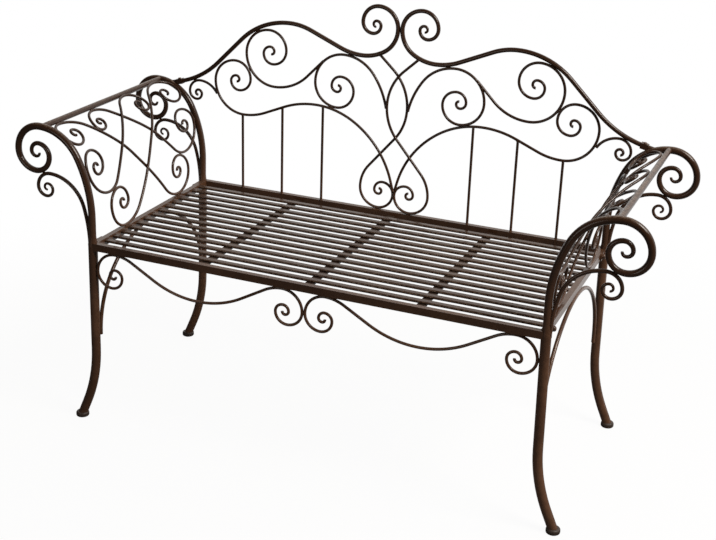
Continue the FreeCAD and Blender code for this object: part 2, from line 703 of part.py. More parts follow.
# Sleeve and screw that hold the top rail's end at the rear post
rail_out = Vector(cos(RAIL_END_SLOPE), 0, -sin(RAIL_END_SLOPE))
rail_up = Vector(sin(RAIL_END_SLOPE), 0, cos(RAIL_END_SLOPE))
sleeve_start = upright(RAIL_Y)(rail_end) + rail_out * (SLEEVE_PAST_END - SLEEVE_LENGTH)
sleeve_corner = sleeve_start - rail_up * (SLEEVE_SIZE / 2) - Vector(0, SLEEVE_SIZE / 2, 0)
sleeve_side = Part.LineSegment(sleeve_corner, sleeve_corner + rail_up * SLEEVE_SIZE).toShape()
sleeve = sleeve_side.extrude(Vector(0, SLEEVE_SIZE, 0)).extrude(rail_out * SLEEVE_LENGTH)
screw_place = sleeve_start + rail_out * (SLEEVE_LENGTH / 2)
sleeve_top = screw_place + rail_up * (SLEEVE_SIZE / 2)
screw_hole = Part.makeCylinder(SCREW_DIAMETER / 2, SLEEVE_SIZE, screw_place, rail_up)
screw_head = Part.makeCylinder(SCREW_HEAD_DIAMETER / 2, SCREW_HEAD_HEIGHT, sleeve_top, rail_up)
rim = max(screw_head.Edges, key=lambda edge: edge.CenterOfMass.z)
screw_head = screw_head.makeFillet(SCREW_HEAD_ROUNDING, [rim])
screw_shank = Part.makeCylinder(SCREW_DIAMETER / 2, SLEEVE_SIZE / 2, screw_place, rail_up)
screw = cope(screw_head.fuse(screw_shank), top_rail)
sleeve = cope(sleeve, top_rail, posts["rear"], screw_hole, parts["panel_long_bar_inner_right"])
parts["top_rail_sleeves"] = Part.makeCompound([sleeve, flip(sleeve)])
parts["top_rail_screws"] = Part.makeCompound([screw, flip(screw)])

# Ogee bars: the right one passes in front and the left one behind
ogee_radius = OGEE_FOOT_RADII[0]
ogee_foot = (ogee_radius + BAR / 2 + JOINT_GAP / 2, SEAT_TOP + BAR / 2 + JOINT_GAP)
ogee_bends = [bend(OGEE_SWELL_RADII[0], 90), bend(OGEE_SWELL_RADII[1], OGEE_SLOPE)]
ogee_side = end_of(trace(ogee_foot, 0, ogee_bends))[0]
ogee_run = (ogee_side + OGEE_WAIST - OGEE_WAIST_RADIUS * (1 - cos(OGEE_SLOPE))) / sin(OGEE_SLOPE)
ogee_moves = ogee_bends + [
    run(ogee_run),
    bend(OGEE_WAIST_RADIUS, -OGEE_SLOPE - OGEE_TOP_TURN),
]
ogee_exit = station(trace(ogee_foot, 0, ogee_moves)[-1], 1)
ogee_moves.append(run(meeting(*ogee_exit, rail_line)))
ogee_path = two_way(ogee_foot, 0, curl(OGEE_FOOT_RADII, -1), ogee_moves)


def ogee(y):
    return cope(bar_along(chain(ogee_path, upright(y)), BAR), top_rail)


parts["ogee_bar_right"] = ogee(RAIL_Y - LAYER)
parts["ogee_bar_left"] = flip(ogee(RAIL_Y + LAYER))

# Wave rails, each behind or before the ogee bar that it crosses and ending on the other one's foot,
# and their spindles
trough = (WAVE_TROUGH_X, rail_end[1] - WAVE_TROUGH_DROP)
steep_wave, straight_wave, trough_radius, crest_radius = sway(
    WAVE_TROUGH_X - WAVE_CREST_X, WAVE_RISE, WAVE_EASE, WAVE_SHARE)
wave_moves = [
    bend(trough_radius, -steep_wave),
    run(straight_wave),
    bend(crest_radius, steep_wave),
] + [bend(HALF_WIDTH * share, turn) for share, turn in zip(WAVE_FALL_SHARES, WAVE_FALL_TURNS)]
wave_exit = station(trace(trough, 180, wave_moves)[-1], 1)
far_ogee_line = flip(Part.Wire(chain(ogee_path, upright(RAIL_Y))))


def foot_overlap(length):
    """How far the end of a wave rail's straight run reaches past its seat on the far ogee bar."""
    end = Part.Vertex(upright(RAIL_Y)(ahead(*wave_exit, length)))
    return BAR - WAVE_END_SEAT - end.distToShape(far_ogee_line)[0]


wave_moves.append(run(solve(foot_overlap, JOINT_GAP, meeting(*wave_exit, far_ogee_line))))
wave_path = two_way(trough, 0, wave_moves, curl(WAVE_SCROLL_RADII, 1))
wave_top = trough[1] + WAVE_RISE + BAR


def wave_rail(y, far_ogee):
    return cope(bar_along(chain(wave_path, upright(y)), BAR), far_ogee)


def spindle(x, y, wave):
    rod_up = Part.makeCylinder(SPINDLE_BAR / 2, wave_top - SEAT_TOP, Vector(x, y, SEAT_TOP))
    return cope(rod_up, wave)


right_wave = wave_rail(RAIL_Y + LAYER, parts["ogee_bar_left"])
left_wave = wave_rail(RAIL_Y - LAYER, flip(parts["ogee_bar_right"]))
parts["wave_rail_right"] = right_wave
parts["wave_rail_left"] = flip(left_wave)
for number, share in enumerate(SPINDLE_SHARES, 1):
    x = HALF_WIDTH * share
    parts["spindle_%d_right" % number] = spindle(x, RAIL_Y + LAYER, right_wave)
    parts["spindle_%d_left" % number] = flip(spindle(x, RAIL_Y - LAYER, left_wave))

# Scrolls that hang under the top rail
rail_touch = (RAIL_BAR + BAR) / 2 + JOINT_GAP


def back_scroll(x, z, back_moves, fore_moves):
    return chain(two_way((x, z), 0, back_moves, fore_moves), upright(RAIL_Y))


def hung(x, back_moves, fore_moves):
    """Height at which a scroll touches the top rail from below."""
    def overlap(z):
        scroll_line = Part.Wire(back_scroll(x, z, back_moves, fore_moves))
        return rail_touch - scroll_line.distToShape(rail_line)[0]
    return solve(overlap, SEAT_TOP, SEAT_TOP + meeting((x, SEAT_TOP), 90, rail_line))


c_tail = [bend(*sizes) for sizes in zip(C_SCROLL_TAIL_RADII, C_SCROLL_TAIL_TURNS)]
c_curl = curl(C_SCROLL_RADII, -1)
c_edges = back_scroll(C_SCROLL_X, hung(C_SCROLL_X, c_tail, c_curl), c_tail, c_curl)
c_scroll = bar_along(c_edges, BAR)
ogee_bars = [parts["ogee_bar_right"], parts["ogee_bar_left"]]
parts["c_scroll_right"] = cope(c_scroll, right_wave, *ogee_bars)
parts["c_scroll_left"] = cope(flip(c_scroll), flip(left_wave), *ogee_bars)
s_tail = [bend(S_SCROLL_TAIL_RADIUS, -S_SCROLL_TAIL_TURN)]
s_curl = curl(S_SCROLL_RADII, 1)
s_low = (S_SCROLL_X, hung(S_SCROLL_X, s_tail, s_curl))
s_exit = station(trace(s_low, 180, s_tail)[-1], 1)
s_tail.append(run(meeting(*s_exit, Part.Wire(c_edges))))
s_scroll = bar_along(back_scroll(*s_low, s_tail, s_curl), BAR)
parts["s_scroll_right"] = cope(s_scroll, c_scroll, right_wave)
parts["s_scroll_left"] = cope(flip(s_scroll), flip(c_scroll), flip(left_wave))
edge_x = rail_end[0] - EDGE_SCROLL_IN
edge_tail = [bend(EDGE_SCROLL_TAIL_RADIUS, EDGE_SCROLL_TAIL_TURN)]
edge_curl = curl(EDGE_SCROLL_RADII, -1)
edge_scroll = bar_along(back_scroll(edge_x, hung(edge_x, edge_tail, edge_curl), edge_tail, edge_curl), BAR)
parts["edge_scroll_right"] = cope(edge_scroll, right_wave, posts["rear"])
parts["edge_scroll_left"] = flip(cope(edge_scroll, left_wave, posts["rear"]))

# Apron: a long wave with a volute at each end, under each half of the front rail
apron_radius = APRON_SCROLL_RADII[0]
apron_top = SEAT_UNDERSIDE - BAR / 2 - JOINT_GAP
apron_inner = BAR / 2 + JOINT_GAP / 2
leg_touch = math.sqrt(((LEG_DIAMETER + BAR) / 2 + JOINT_GAP) ** 2 - RAIL_STAND_OUT ** 2)
apron_outer = leg_x(apron_top - apron_radius) - leg_touch
steep_apron, straight_apron, low_radius, high_radius = sway(
    (apron_outer - apron_inner) / 2 - apron_radius, APRON_DROP, APRON_EASE, APRON_SHARE)
apron_moves = [bend(low_radius, steep_apron), run(straight_apron), bend(high_radius, -steep_apron)]
apron_moves += curl(APRON_SCROLL_RADII, -1)
apron_mirror = [(size, turn if turn is None else -turn) for size, turn in apron_moves]
apron_middle = ((apron_inner + apron_outer) / 2, apron_top - APRON_DROP)
apron_path = two_way(apron_middle, 0, apron_mirror, apron_moves)
pair("apron_scroll", bar_along(chain(apron_path, upright(-RAIL_Y)), BAR))

os.makedirs("parts", exist_ok=True)
for name, shape in parts.items():
    shape.exportStep("parts/" + name + ".step")
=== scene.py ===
# %% [markdown]
# The bench is a two-seater of scrolled steel bars under a dark brown powder coat. Its solids come packed
# from CAD, in metres: x runs to the right, -y is the front and z is up. They could be modelled again here,
# but a second model would drift away from the first one, so they are loaded as a fixed frame. This lesson
# gives them their finishes, adds the weld beads that the solids leave out, and sets up camera and light.

# %% Load the packed solids
import math

import bpy
import numpy as np
from mathutils import Matrix, Vector
from mathutils.bvhtree import BVHTree


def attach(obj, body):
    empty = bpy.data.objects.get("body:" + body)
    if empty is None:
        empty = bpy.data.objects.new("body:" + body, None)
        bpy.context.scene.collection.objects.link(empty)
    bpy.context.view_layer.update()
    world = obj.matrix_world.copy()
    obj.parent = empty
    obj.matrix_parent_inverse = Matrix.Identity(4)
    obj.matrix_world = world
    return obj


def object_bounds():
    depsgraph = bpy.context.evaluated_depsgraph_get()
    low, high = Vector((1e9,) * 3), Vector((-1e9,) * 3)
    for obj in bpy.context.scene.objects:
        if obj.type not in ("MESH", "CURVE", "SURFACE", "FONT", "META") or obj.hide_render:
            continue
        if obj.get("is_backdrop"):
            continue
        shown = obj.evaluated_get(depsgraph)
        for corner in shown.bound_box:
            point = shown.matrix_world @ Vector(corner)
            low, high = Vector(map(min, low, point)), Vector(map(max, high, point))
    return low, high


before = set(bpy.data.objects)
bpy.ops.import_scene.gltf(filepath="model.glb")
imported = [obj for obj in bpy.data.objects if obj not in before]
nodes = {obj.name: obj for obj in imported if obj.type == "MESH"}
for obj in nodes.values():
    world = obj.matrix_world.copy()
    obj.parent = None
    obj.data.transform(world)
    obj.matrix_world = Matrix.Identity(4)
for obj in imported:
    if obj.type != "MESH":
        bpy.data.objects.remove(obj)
cad_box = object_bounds()
print("pieces:", len(nodes), "box:", [[round(value, 3) for value in corner] for corner in cad_box])

# %% [markdown]
# The camera stands to the right of the bench and looks down on it. Its place was solved from straight edges
# of the photograph: the seat rails, the spindles and the feet. A camera could be aimed with a constraint,
# but a matrix built from its three axes also takes the small roll, and it stays put when the script reruns.

# %% Stand the camera where the photograph was taken
IMAGE_WIDTH = 716
CAMERA_PLACE = Vector((0.9959, -2.3999, 1.4315))
CAMERA_AZIMUTH = math.radians(22.14)
CAMERA_ELEVATION = math.radians(22.23)
CAMERA_ROLL = math.radians(1.90)
FOCAL_PIXELS = 1298.1
CENTRE_PIXELS_RIGHT = 1.07


def camera_axes(azimuth, elevation, roll):
    """Right, up and backward directions of a camera that looks along +y, turned and tipped."""
    level = math.cos(elevation)
    forward = Vector((-math.sin(azimuth) * level, math.cos(azimuth) * level, -math.sin(elevation)))
    right = forward.cross(Vector((0, 0, 1))).normalized()
    up = right.cross(forward)
    rolled_right = right * math.cos(roll) + up * math.sin(roll)
    rolled_up = up * math.cos(roll) - right * math.sin(roll)
    return rolled_right, rolled_up, -forward


lens = bpy.data.cameras.new("photo_camera")
lens.sensor_fit = "HORIZONTAL"
lens.sensor_width = 36.0
lens.lens = FOCAL_PIXELS / IMAGE_WIDTH * lens.sensor_width
lens.shift_x = -CENTRE_PIXELS_RIGHT / IMAGE_WIDTH
camera = bpy.data.objects.new("photo_camera", lens)
axes = camera_axes(CAMERA_AZIMUTH, CAMERA_ELEVATION, CAMERA_ROLL)
camera.matrix_world = Matrix.Translation(CAMERA_PLACE) @ Matrix(axes).transposed().to_4x4()
bpy.context.scene.collection.objects.link(camera)
bpy.context.scene.camera = camera
print("lens in mm:", round(lens.lens, 2))

# %% [markdown]
# A finish is a web of small sums: mix two browns by a noise, add grain to the roughness, and so on. Such a
# web could be wired node by node, but it reads better as ordinary Python. A Flow wraps one socket, and each
# operator adds a Math node. A Board wraps a node tree, and its one method makes any other node.

# %% A small language for shader sums
class Flow:
    """A socket that can be used in sums."""

    def __init__(self, board, socket):
        self.board = board
        self.socket = socket

    def _sum(self, operation, *terms):
        return self.board.node("ShaderNodeMath", {"operation": operation}, dict(enumerate(terms)))

    def __add__(self, other):
        return self._sum("ADD", self, other)

    def __sub__(self, other):
        return self._sum("SUBTRACT", self, other)

    def __rsub__(self, other):
        return self._sum("SUBTRACT", other, self)

    def __mul__(self, other):
        return self._sum("MULTIPLY", self, other)

    def __rtruediv__(self, other):
        return self._sum("DIVIDE", other, self)

    def __abs__(self):
        return self._sum("ABSOLUTE", self)

    def above(self, other):
        return self._sum("MAXIMUM", self, other)

    def beside(self, pitch):
        """Distance from the nearest of a row of lines, one pitch apart and half a pitch from zero."""
        return abs(self._sum("WRAP", self, pitch, 0.0) - pitch / 2)

    __radd__ = __add__
    __rmul__ = __mul__


class Board:
    """A node tree to build on."""

    def __init__(self, tree):
        self.tree = tree

    def put(self, socket, value):
        if isinstance(value, Flow):
            self.tree.links.new(value.socket, socket)
        else:
            socket.default_value = value

    def node(self, kind, settings=(), sockets=(), output=0):
        """A node of any type: its settings first, then its sockets' values or links."""
        made = self.tree.nodes.new(kind)
        for name, value in dict(settings).items():
            setattr(made, name, value)
        for key, value in dict(sockets).items():
            self.put(made.inputs[key], value)
        return Flow(self, made.outputs[output])

    def ease(self, value, low, high):
        """A smooth rise from 0 at low to 1 at high."""
        sockets = {"Value": value, "From Min": low, "From Max": high}
        return self.node("ShaderNodeMapRange", {"interpolation_type": "SMOOTHSTEP"}, sockets)

    def blend(self, mask, below, over):
        """One colour over another, where the mask is 1."""
        sockets = {0: mask, 6: below, 7: over}
        return self.node("ShaderNodeMix", {"data_type": "RGBA"}, sockets, 2)


print("node language ready")

# %% [markdown]
# A noise in the object's own coordinates gives each finish its uneven spots, and one in metres keeps its
# scale the same on every bar. A noise on a UV map would follow the bars, but the solids have no UV map, and
# on rods this thin nobody would see the difference.

# %% Start a finish and scatter noise over it
class Finish(Board):
    """A material on a Principled shader, with the coordinates that its noises read."""

    def __init__(self, name):
        self.material = bpy.data.materials.new(name)
        self.material.use_nodes = True
        super().__init__(self.material.node_tree)
        self.shader = self.tree.nodes["Principled BSDF"]
        self.place = self.node("ShaderNodeTexCoord", output="Object")

    def noise(self, spot, detail=2.0):
        """Noise from 0 to 1 with spots about as large as given, in metres."""
        sockets = {"Vector": self.place, "Scale": 1 / spot, "Detail": detail}
        return self.node("ShaderNodeTexNoise", (), sockets)

    def axis(self, name):
        return self.node("ShaderNodeSeparateXYZ", (), {0: self.place}, name)

    def facing_up(self):
        """1 on faces that look up, 0 on upright ones."""
        normal = self.node("ShaderNodeNewGeometry", output="Normal")
        return self.node("ShaderNodeSeparateXYZ", (), {0: normal}, "Z")

    def bump(self, height, depth, below=None):
        """Relief of a height from 0 to 1, as deep as given in metres, on top of another relief."""
        sockets = {"Height": height, "Distance": depth, "Strength": 1.0}
        if below is not None:
            sockets["Normal"] = below
        return self.node("ShaderNodeBump", (), sockets)

    def set(self, **sockets):
        for name, value in sockets.items():
            self.put(self.shader.inputs[name.replace("_", " ")], value)
        return self.material


print("finishes start from", Finish.__doc__)

# %% [markdown]
# Powder coat is dry paint, sprayed on and melted in an oven. It flows out nearly smooth, but keeps a fine
# skin like an orange's, and the bars under it keep shallow marks of bending and forging. The brown is uneven
# at random, a little dusty on top, and rubbed pale on edges that clothes and hands wear. It is also darker
# higher up, on the arms and the back, and warmer on the legs: that is painted shade, which stands in for how
# the light falls on the bars. A single brown would look like plastic, so noises of four sizes vary the
# colour, the gloss and the relief, the height above the floor darkens the brown as painted shade, and a mask
# of worn places is laid on last.

# %% The brown powder coat
DEEP_BROWN = (0.031, 0.0130, 0.0058, 1)
WARM_BROWN = (0.132, 0.0630, 0.0335, 1)
DUST = (0.125, 0.092, 0.068, 1)
BARE_BRONZE = (0.235, 0.165, 0.115, 1)
SHEEN = 0.38
# Heights over which the brown darkens, and by how much: painted shade on the upper bars.
PAINTED_SHADE_FROM, PAINTED_SHADE_TO = 0.30, 0.62
PAINTED_SHADE_DEPTH = 0.88
EVENNESS = 0.4
CLOUD_SPOT = 0.16
FORGE_SPOT = 0.012
SKIN_SPOT = 0.0019
GRAIN_SPOT = 0.0006
RUB_SPOT = 0.004
FORGE_DEPTH = 0.00012
SKIN_DEPTH = 0.00003


def powder_coat(name, worn=None, browns=(DEEP_BROWN, WARM_BROWN), dull=0.0):
    """The coat of the bars; worn makes a mask of places where it is rubbed thin, dull adds roughness."""
    finish = Finish(name)
    clouds = finish.noise(CLOUD_SPOT, 3.0)
    forging = finish.noise(FORGE_SPOT)
    skin = finish.noise(SKIN_SPOT, 1.0)
    grain = finish.noise(GRAIN_SPOT, 0.0)
    thin = finish.ease(clouds * 0.65 + forging * 0.2 + grain * 0.15, 0.36, 0.64)
    # Painted shade: the brown darkens with height, so the arms and the back are darker than the legs.
    high = finish.ease(finish.axis("Z"), PAINTED_SHADE_FROM, PAINTED_SHADE_TO)
    brown = finish.blend((EVENNESS + thin * (1 - EVENNESS)) * (1 - high * PAINTED_SHADE_DEPTH), *browns)
    settled = finish.ease(finish.facing_up(), 0.35, 1.0) * finish.ease(clouds + grain * 0.3, 0.5, 0.8)
    colour = finish.blend(settled * 0.22, brown, DUST)
    roughness = 0.16 + dull + skin * 0.08 + clouds * 0.07 + settled * 0.12
    if worn is not None:
        rubbed = worn(finish) * finish.ease(finish.noise(RUB_SPOT, 3.0), 0.42, 0.62)
        colour = finish.blend(rubbed * 0.45, colour, BARE_BRONZE)
        roughness = roughness - rubbed * 0.06
    relief = finish.bump(forging, FORGE_DEPTH)
    relief = finish.bump(skin, SKIN_DEPTH, relief)
    return finish.set(Base_Color=colour, Roughness=roughness, Normal=relief, Specular_IOR_Level=SHEEN)


coat = powder_coat("powder_coat")
print("nodes in", coat.name, len(coat.node_tree.nodes))

# %% [markdown]
# People slide on and off the seat, so the slats' long edges lose their dark tone first. The slats stand in an
# even row, so the distance from the nearest slat's middle tells where an edge is. The arm rails and the
# crowns of the arms are polished by hands in the same way, on their tops. The bearers under the slats are out
# of reach, so their coat stays dull, and their brown is darker: painted shade, for the shade of the slats.

# %% Rubbed slats and arms, and dull bearers with painted shade
# The darkest brown below is painted shade, used only on the bearers under the slats.
PAINTED_SHADE_BROWN = (0.020, 0.0088, 0.0042, 1)
SLAT_BROWN = (0.067, 0.0315, 0.0162, 1)
BEARER_DULLNESS = 0.35
SLAT_PITCH = 0.0312
SLAT_HALF = 0.0073
EDGE_FROM, EDGE_TO = SLAT_HALF - 0.0014, SLAT_HALF - 0.0002
ARM_FROM, ARM_TO = 0.64, 0.66


def slat_edges(finish):
    return finish.ease(finish.axis("Y").beside(SLAT_PITCH), EDGE_FROM, EDGE_TO)


def arm_tops(finish):
    return finish.ease(finish.facing_up(), 0.5, 1.0) * finish.ease(finish.axis("Z"), ARM_FROM, ARM_TO)


slat_coat = powder_coat("slat_coat", slat_edges, (DEEP_BROWN, SLAT_BROWN))
arm_coat = powder_coat("arm_coat", arm_tops)
# The bearers' darker brown is painted shade from the slats above them; their dullness is real.
bearer_coat = powder_coat("bearer_coat", None, (PAINTED_SHADE_BROWN, DEEP_BROWN), BEARER_DULLNESS)
print("other coats:", slat_coat.name, arm_coat.name, bearer_coat.name)

# %% [markdown]
# The bolts and screws wear the same brown, but a spanner chips it from their heads, and steel shows there.
# Bare steel could be a second material on picked faces. A mask on Metallic does it on one material, with
# ragged borders.

# %% Chipped bolts and screws
STEEL = (0.30, 0.275, 0.25, 1)
CHIP_SPOT = 0.0022
CHIP_DEPTH = 0.00005
PAINT_SPOT = 0.008
BRUSH_SPOT = 0.0012
BRUSH_DEPTH = 0.00004


def bolt_paint(name):
    finish = Finish(name)
    chips = finish.ease(finish.noise(CHIP_SPOT, 4.0), 0.60, 0.66)
    shade = finish.noise(PAINT_SPOT)
    paint = finish.blend(shade, DEEP_BROWN, WARM_BROWN)
    relief = finish.bump(finish.noise(BRUSH_SPOT), BRUSH_DEPTH)
    relief = finish.bump(1 - chips, CHIP_DEPTH, relief)
    return finish.set(
        Base_Color=finish.blend(chips, paint, STEEL), Metallic=chips * 0.9,
        Roughness=0.30 + shade * 0.12 + chips * 0.05, Normal=relief)


bolt_finish = bolt_paint("bolt_paint")
print("nodes in", bolt_finish.name, len(bolt_finish.node_tree.nodes))

# %% [markdown]
# Each leg stands in a moulded cap of brown rubber, which keeps the tube off the ground. Rubber is duller than
# the coat, has a fine moulded grain, and picks up pale dirt near the ground. The dirt fades with height, so
# it reads the z axis and a noise.

# %% Moulded foot caps
CAP_DARK = (0.026, 0.016, 0.011, 1)
CAP_BROWN = (0.048, 0.029, 0.020, 1)
GROUND_DIRT = (0.16, 0.135, 0.11, 1)
CAP_HEIGHT = 0.0115
CAP_CLOUD_SPOT = 0.009
CAP_GRAIN_SPOT = 0.0007
CAP_GRAIN_DEPTH = 0.00004


def cap_rubber(name):
    finish = Finish(name)
    clouds = finish.noise(CAP_CLOUD_SPOT, 3.0)
    grain = finish.noise(CAP_GRAIN_SPOT, 1.0)
    low = finish.ease(CAP_HEIGHT / 2 - finish.axis("Z"), 0.0, CAP_HEIGHT / 2)
    dirt = low * finish.ease(clouds, 0.42, 0.7)
    rubber = finish.blend(clouds, CAP_DARK, CAP_BROWN)
    return finish.set(
        Base_Color=finish.blend(dirt * 0.5, rubber, GROUND_DIRT),
        Roughness=0.46 + grain * 0.14 + dirt * 0.2, Normal=finish.bump(grain, CAP_GRAIN_DEPTH))


cap_finish = cap_rubber("cap_rubber")
print("nodes in", cap_finish.name, len(cap_finish.node_tree.nodes))

# %% [markdown]
# Each solid now gets its finish on its material slots. A list of every node would be long, and the names
# already say what a piece is, so the finish is found from a word in the name, and the plain coat is left
# for all the rest.

# %% Give every solid its finish
FINISH_OF = {"foot": cap_finish, "bolts": bolt_finish, "screws": bolt_finish, "washers": bolt_finish,
             "bearer": bearer_coat, "slats": slat_coat, "arm_rail": arm_coat, "post": arm_coat}


def finish_for(name):
    return next((FINISH_OF[word] for word in FINISH_OF if word in name), coat)


for name, node in nodes.items():
    for slot in node.material_slots:
        slot.material = finish_for(name)
print("finished:", sum(len(node.material_slots) for node in nodes.values()), "slots on", len(nodes), "nodes")

# %% [markdown]
# Where two bars meet, the real bench has a small bead of weld, coated over. The beads could be placed by
# hand, but there are about a hundred of them, and the solids already know where they touch. So the script
# looks for points of one piece that lie within half a millimetre of another, gathers them into spots, and
# keeps each spot's middle, the direction in which the touching patch is longest, and the patch's size.

# %% Find where the bars touch
NEAR = 0.0005
SPOT_SIZE = 0.012
THIN_BARS = ("spindle", "ogee_bar", "c_scroll", "s_scroll", "edge_scroll", "apron", "arch", "panel", "prop")
CARRIERS = ("top_rail_left", "top_rail_right", "wave_rail", "seat_rail", "post", "arm_rail")
depsgraph = bpy.context.evaluated_depsgraph_get()


def corner_points(node):
    """A piece's points, each of them once."""
    flat = np.empty(len(node.data.vertices) * 3)
    node.data.vertices.foreach_get("co", flat)
    return np.unique(flat.reshape(-1, 3).round(6), axis=0)


def named(words):
    return [name for name in sorted(nodes) if any(word in name for word in words)]


points = {name: corner_points(nodes[name]) for name in named(THIN_BARS + CARRIERS)}
surfaces = {name: BVHTree.FromObject(nodes[name], depsgraph) for name in points}


def near_points(first, second):
    """Places where points of the first piece nearly touch the second, and the second's normals there."""
    low, high = points[second].min(0) - NEAR, points[second].max(0) + NEAR
    inside = points[first][((points[first] >= low) & (points[first] <= high)).all(1)]
    found = []
    for point in inside:
        spot, normal, _, distance = surfaces[second].find_nearest(point, NEAR)
        if spot is not None:
            found.append((distance, tuple((spot + Vector(point)) / 2), tuple(normal)))
    return found


def gather(found):
    """Splits near points into spots, each round the nearest point left."""
    spots = []
    for _, place, normal in sorted(found):
        home = next((spot for spot in spots if math.dist(spot[0][0], place) < SPOT_SIZE), None)
        if home is None:
            spots.append([(place, normal)])
        else:
            home.append((place, normal))
    return spots


pairs = [(first, second) for first in named(THIN_BARS) for second in points if first != second]
spots = [spot for pair in pairs for spot in gather(near_points(*pair))]
print("pairs tried:", len(pairs), "spots found:", len(spots))

# %% [markdown]
# Two pieces find each other twice, once from each side, so of spots that lie together only the largest is
# kept. Each bead is then an ellipsoid: flat along the normal between the pieces, long along the patch, and
# just wider than the patch, so that it shows as a small fillet in the groove on both sides.

# %% Measure the beads
BEAD_LIP = 0.0012
BEAD_THICKNESS = 0.0014
BEAD_LONG = (0.0030, 0.0060)
BEAD_WIDE = (0.0026, 0.0046)
LEAST_LENGTH = 0.1


def bead(spot):
    """Middle, turn and half sizes of the bead that fills a spot."""
    places = np.array([place for place, _ in spot])
    middle = (places.min(0) + places.max(0)) / 2
    normal = Vector(np.mean([normal for _, normal in spot], axis=0))
    normal = normal.normalized() if normal.length > LEAST_LENGTH else Vector((0, 1, 0))
    spread = Vector(np.linalg.svd(places - places.mean(0), full_matrices=False)[2][0])
    along = spread - normal * spread.dot(normal)
    along = along.normalized() if along.length > LEAST_LENGTH else normal.orthogonal().normalized()
    across = normal.cross(along)
    halves = [np.abs((places - middle) @ np.array(axis)).max() + BEAD_LIP for axis in (along, across)]
    half_size = (float(np.clip(halves[0], *BEAD_LONG)), float(np.clip(halves[1], *BEAD_WIDE)), BEAD_THICKNESS)
    return Vector(middle), Matrix((along, across, normal)).transposed().to_euler(), half_size


beads = []
for spot in sorted(spots, key=len, reverse=True):
    made = bead(spot)
    if all((made[0] - other[0]).length > SPOT_SIZE / 2 for other in beads):
        beads.append(made)
print("beads:", len(beads))

# %% [markdown]
# A bead repeats, so Geometry Nodes make the whole set: one small ball is placed on every point, turned and
# stretched by the two attributes that the points carry, and a noise with a fixed seed makes each of them
# lumpy in its own way. The tree ends in plain geometry with its finish set, because an export has no use for
# instances.

# %% Grow the weld beads with Geometry Nodes
class NodeTree(Board):
    """A Geometry Nodes tree with named inputs."""

    def __init__(self, name, inputs):
        super().__init__(bpy.data.node_groups.new(name, "GeometryNodeTree"))
        self.sockets = {}
        for title, kind in inputs.items():
            made = self.tree.interface.new_socket(title, in_out="INPUT", socket_type=kind)
            self.sockets[title] = made.identifier
        self.tree.interface.new_socket("Geometry", in_out="OUTPUT", socket_type="NodeSocketGeometry")
        self.entry = self.tree.nodes.new("NodeGroupInput")

    def given(self, title):
        return Flow(self, self.entry.outputs[title])

    def attribute(self, title):
        return self.node("GeometryNodeInputNamedAttribute", {"data_type": "FLOAT_VECTOR"}, {"Name": title})


beading = NodeTree("weld_beading", {
    "Geometry": "NodeSocketGeometry", "Lump Height": "NodeSocketFloat", "Lump Size": "NodeSocketFloat",
    "Seed": "NodeSocketFloat", "Finish": "NodeSocketMaterial"})
ball = beading.node("GeometryNodeMeshIcoSphere", (), {"Radius": 1.0, "Subdivisions": 3})
turn = beading.node("FunctionNodeEulerToRotation", (), {0: beading.attribute("turn")})
placed = beading.node("GeometryNodeInstanceOnPoints", (), {
    "Points": beading.given("Geometry"), "Instance": ball, "Rotation": turn,
    "Scale": beading.attribute("half_size")})
plain = beading.node("GeometryNodeRealizeInstances", (), {0: placed})
lumps = beading.node("ShaderNodeTexNoise", {"noise_dimensions": "4D"}, {
    "W": beading.given("Seed"), "Scale": 1 / beading.given("Lump Size"), "Detail": 1.0})
rise = (lumps - 0.5) * beading.given("Lump Height")
shove = beading.node("ShaderNodeVectorMath", {"operation": "SCALE"}, {
    0: beading.node("GeometryNodeInputNormal"), "Scale": rise})
lumpy = beading.node("GeometryNodeSetPosition", (), {"Geometry": plain, "Offset": shove})
smooth = beading.node("GeometryNodeSetShadeSmooth", (), {0: lumpy})
painted = beading.node("GeometryNodeSetMaterial", (), {
    "Geometry": smooth, "Material": beading.given("Finish")})
leave = beading.tree.nodes.new("NodeGroupOutput")
beading.put(leave.inputs["Geometry"], painted)
print("nodes in the tree:", len(beading.tree.nodes))

# %% [markdown]
# The tree needs points to work on, so each bead becomes one loose point that carries its turn and half sizes.
# The modifier could stay on the piece, but a plain mesh is safer to export, so its result is copied into a
# new mesh, and the points are thrown away.

# %% Lay the beads and keep them as a plain mesh
def seeded_points(name, rows):
    """A mesh of loose points that carry a turn and half sizes."""
    mesh = bpy.data.meshes.new(name)
    mesh.from_pydata([tuple(place) for place, _, _ in rows], [], [])
    for title, column in (("turn", 1), ("half_size", 2)):
        values = mesh.attributes.new(title, "FLOAT_VECTOR", "POINT")
        values.data.foreach_set("vector", [value for row in rows for value in row[column]])
    return mesh


def grown(name, mesh, tree, **inputs):
    """The mesh that a tree makes of a point mesh, on an object of its own."""
    seedling = bpy.data.objects.new(name + "_points", mesh)
    bpy.context.scene.collection.objects.link(seedling)
    modifier = seedling.modifiers.new(name, "NODES")
    modifier.node_group = tree.tree
    for title, value in inputs.items():
        modifier[tree.sockets[title.replace("_", " ")]] = value
    evaluated = seedling.evaluated_get(bpy.context.evaluated_depsgraph_get())
    piece = bpy.data.objects.new(name, bpy.data.meshes.new_from_object(evaluated))
    bpy.data.objects.remove(seedling)
    bpy.context.scene.collection.objects.link(piece)
    return piece


weld = grown("weld_beads", seeded_points("weld_points", beads), beading,
             Lump_Height=0.0006, Lump_Size=0.0022, Seed=7.0, Finish=coat)
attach(weld, "root")
print("faces of the weld beads:", len(weld.data.polygons))

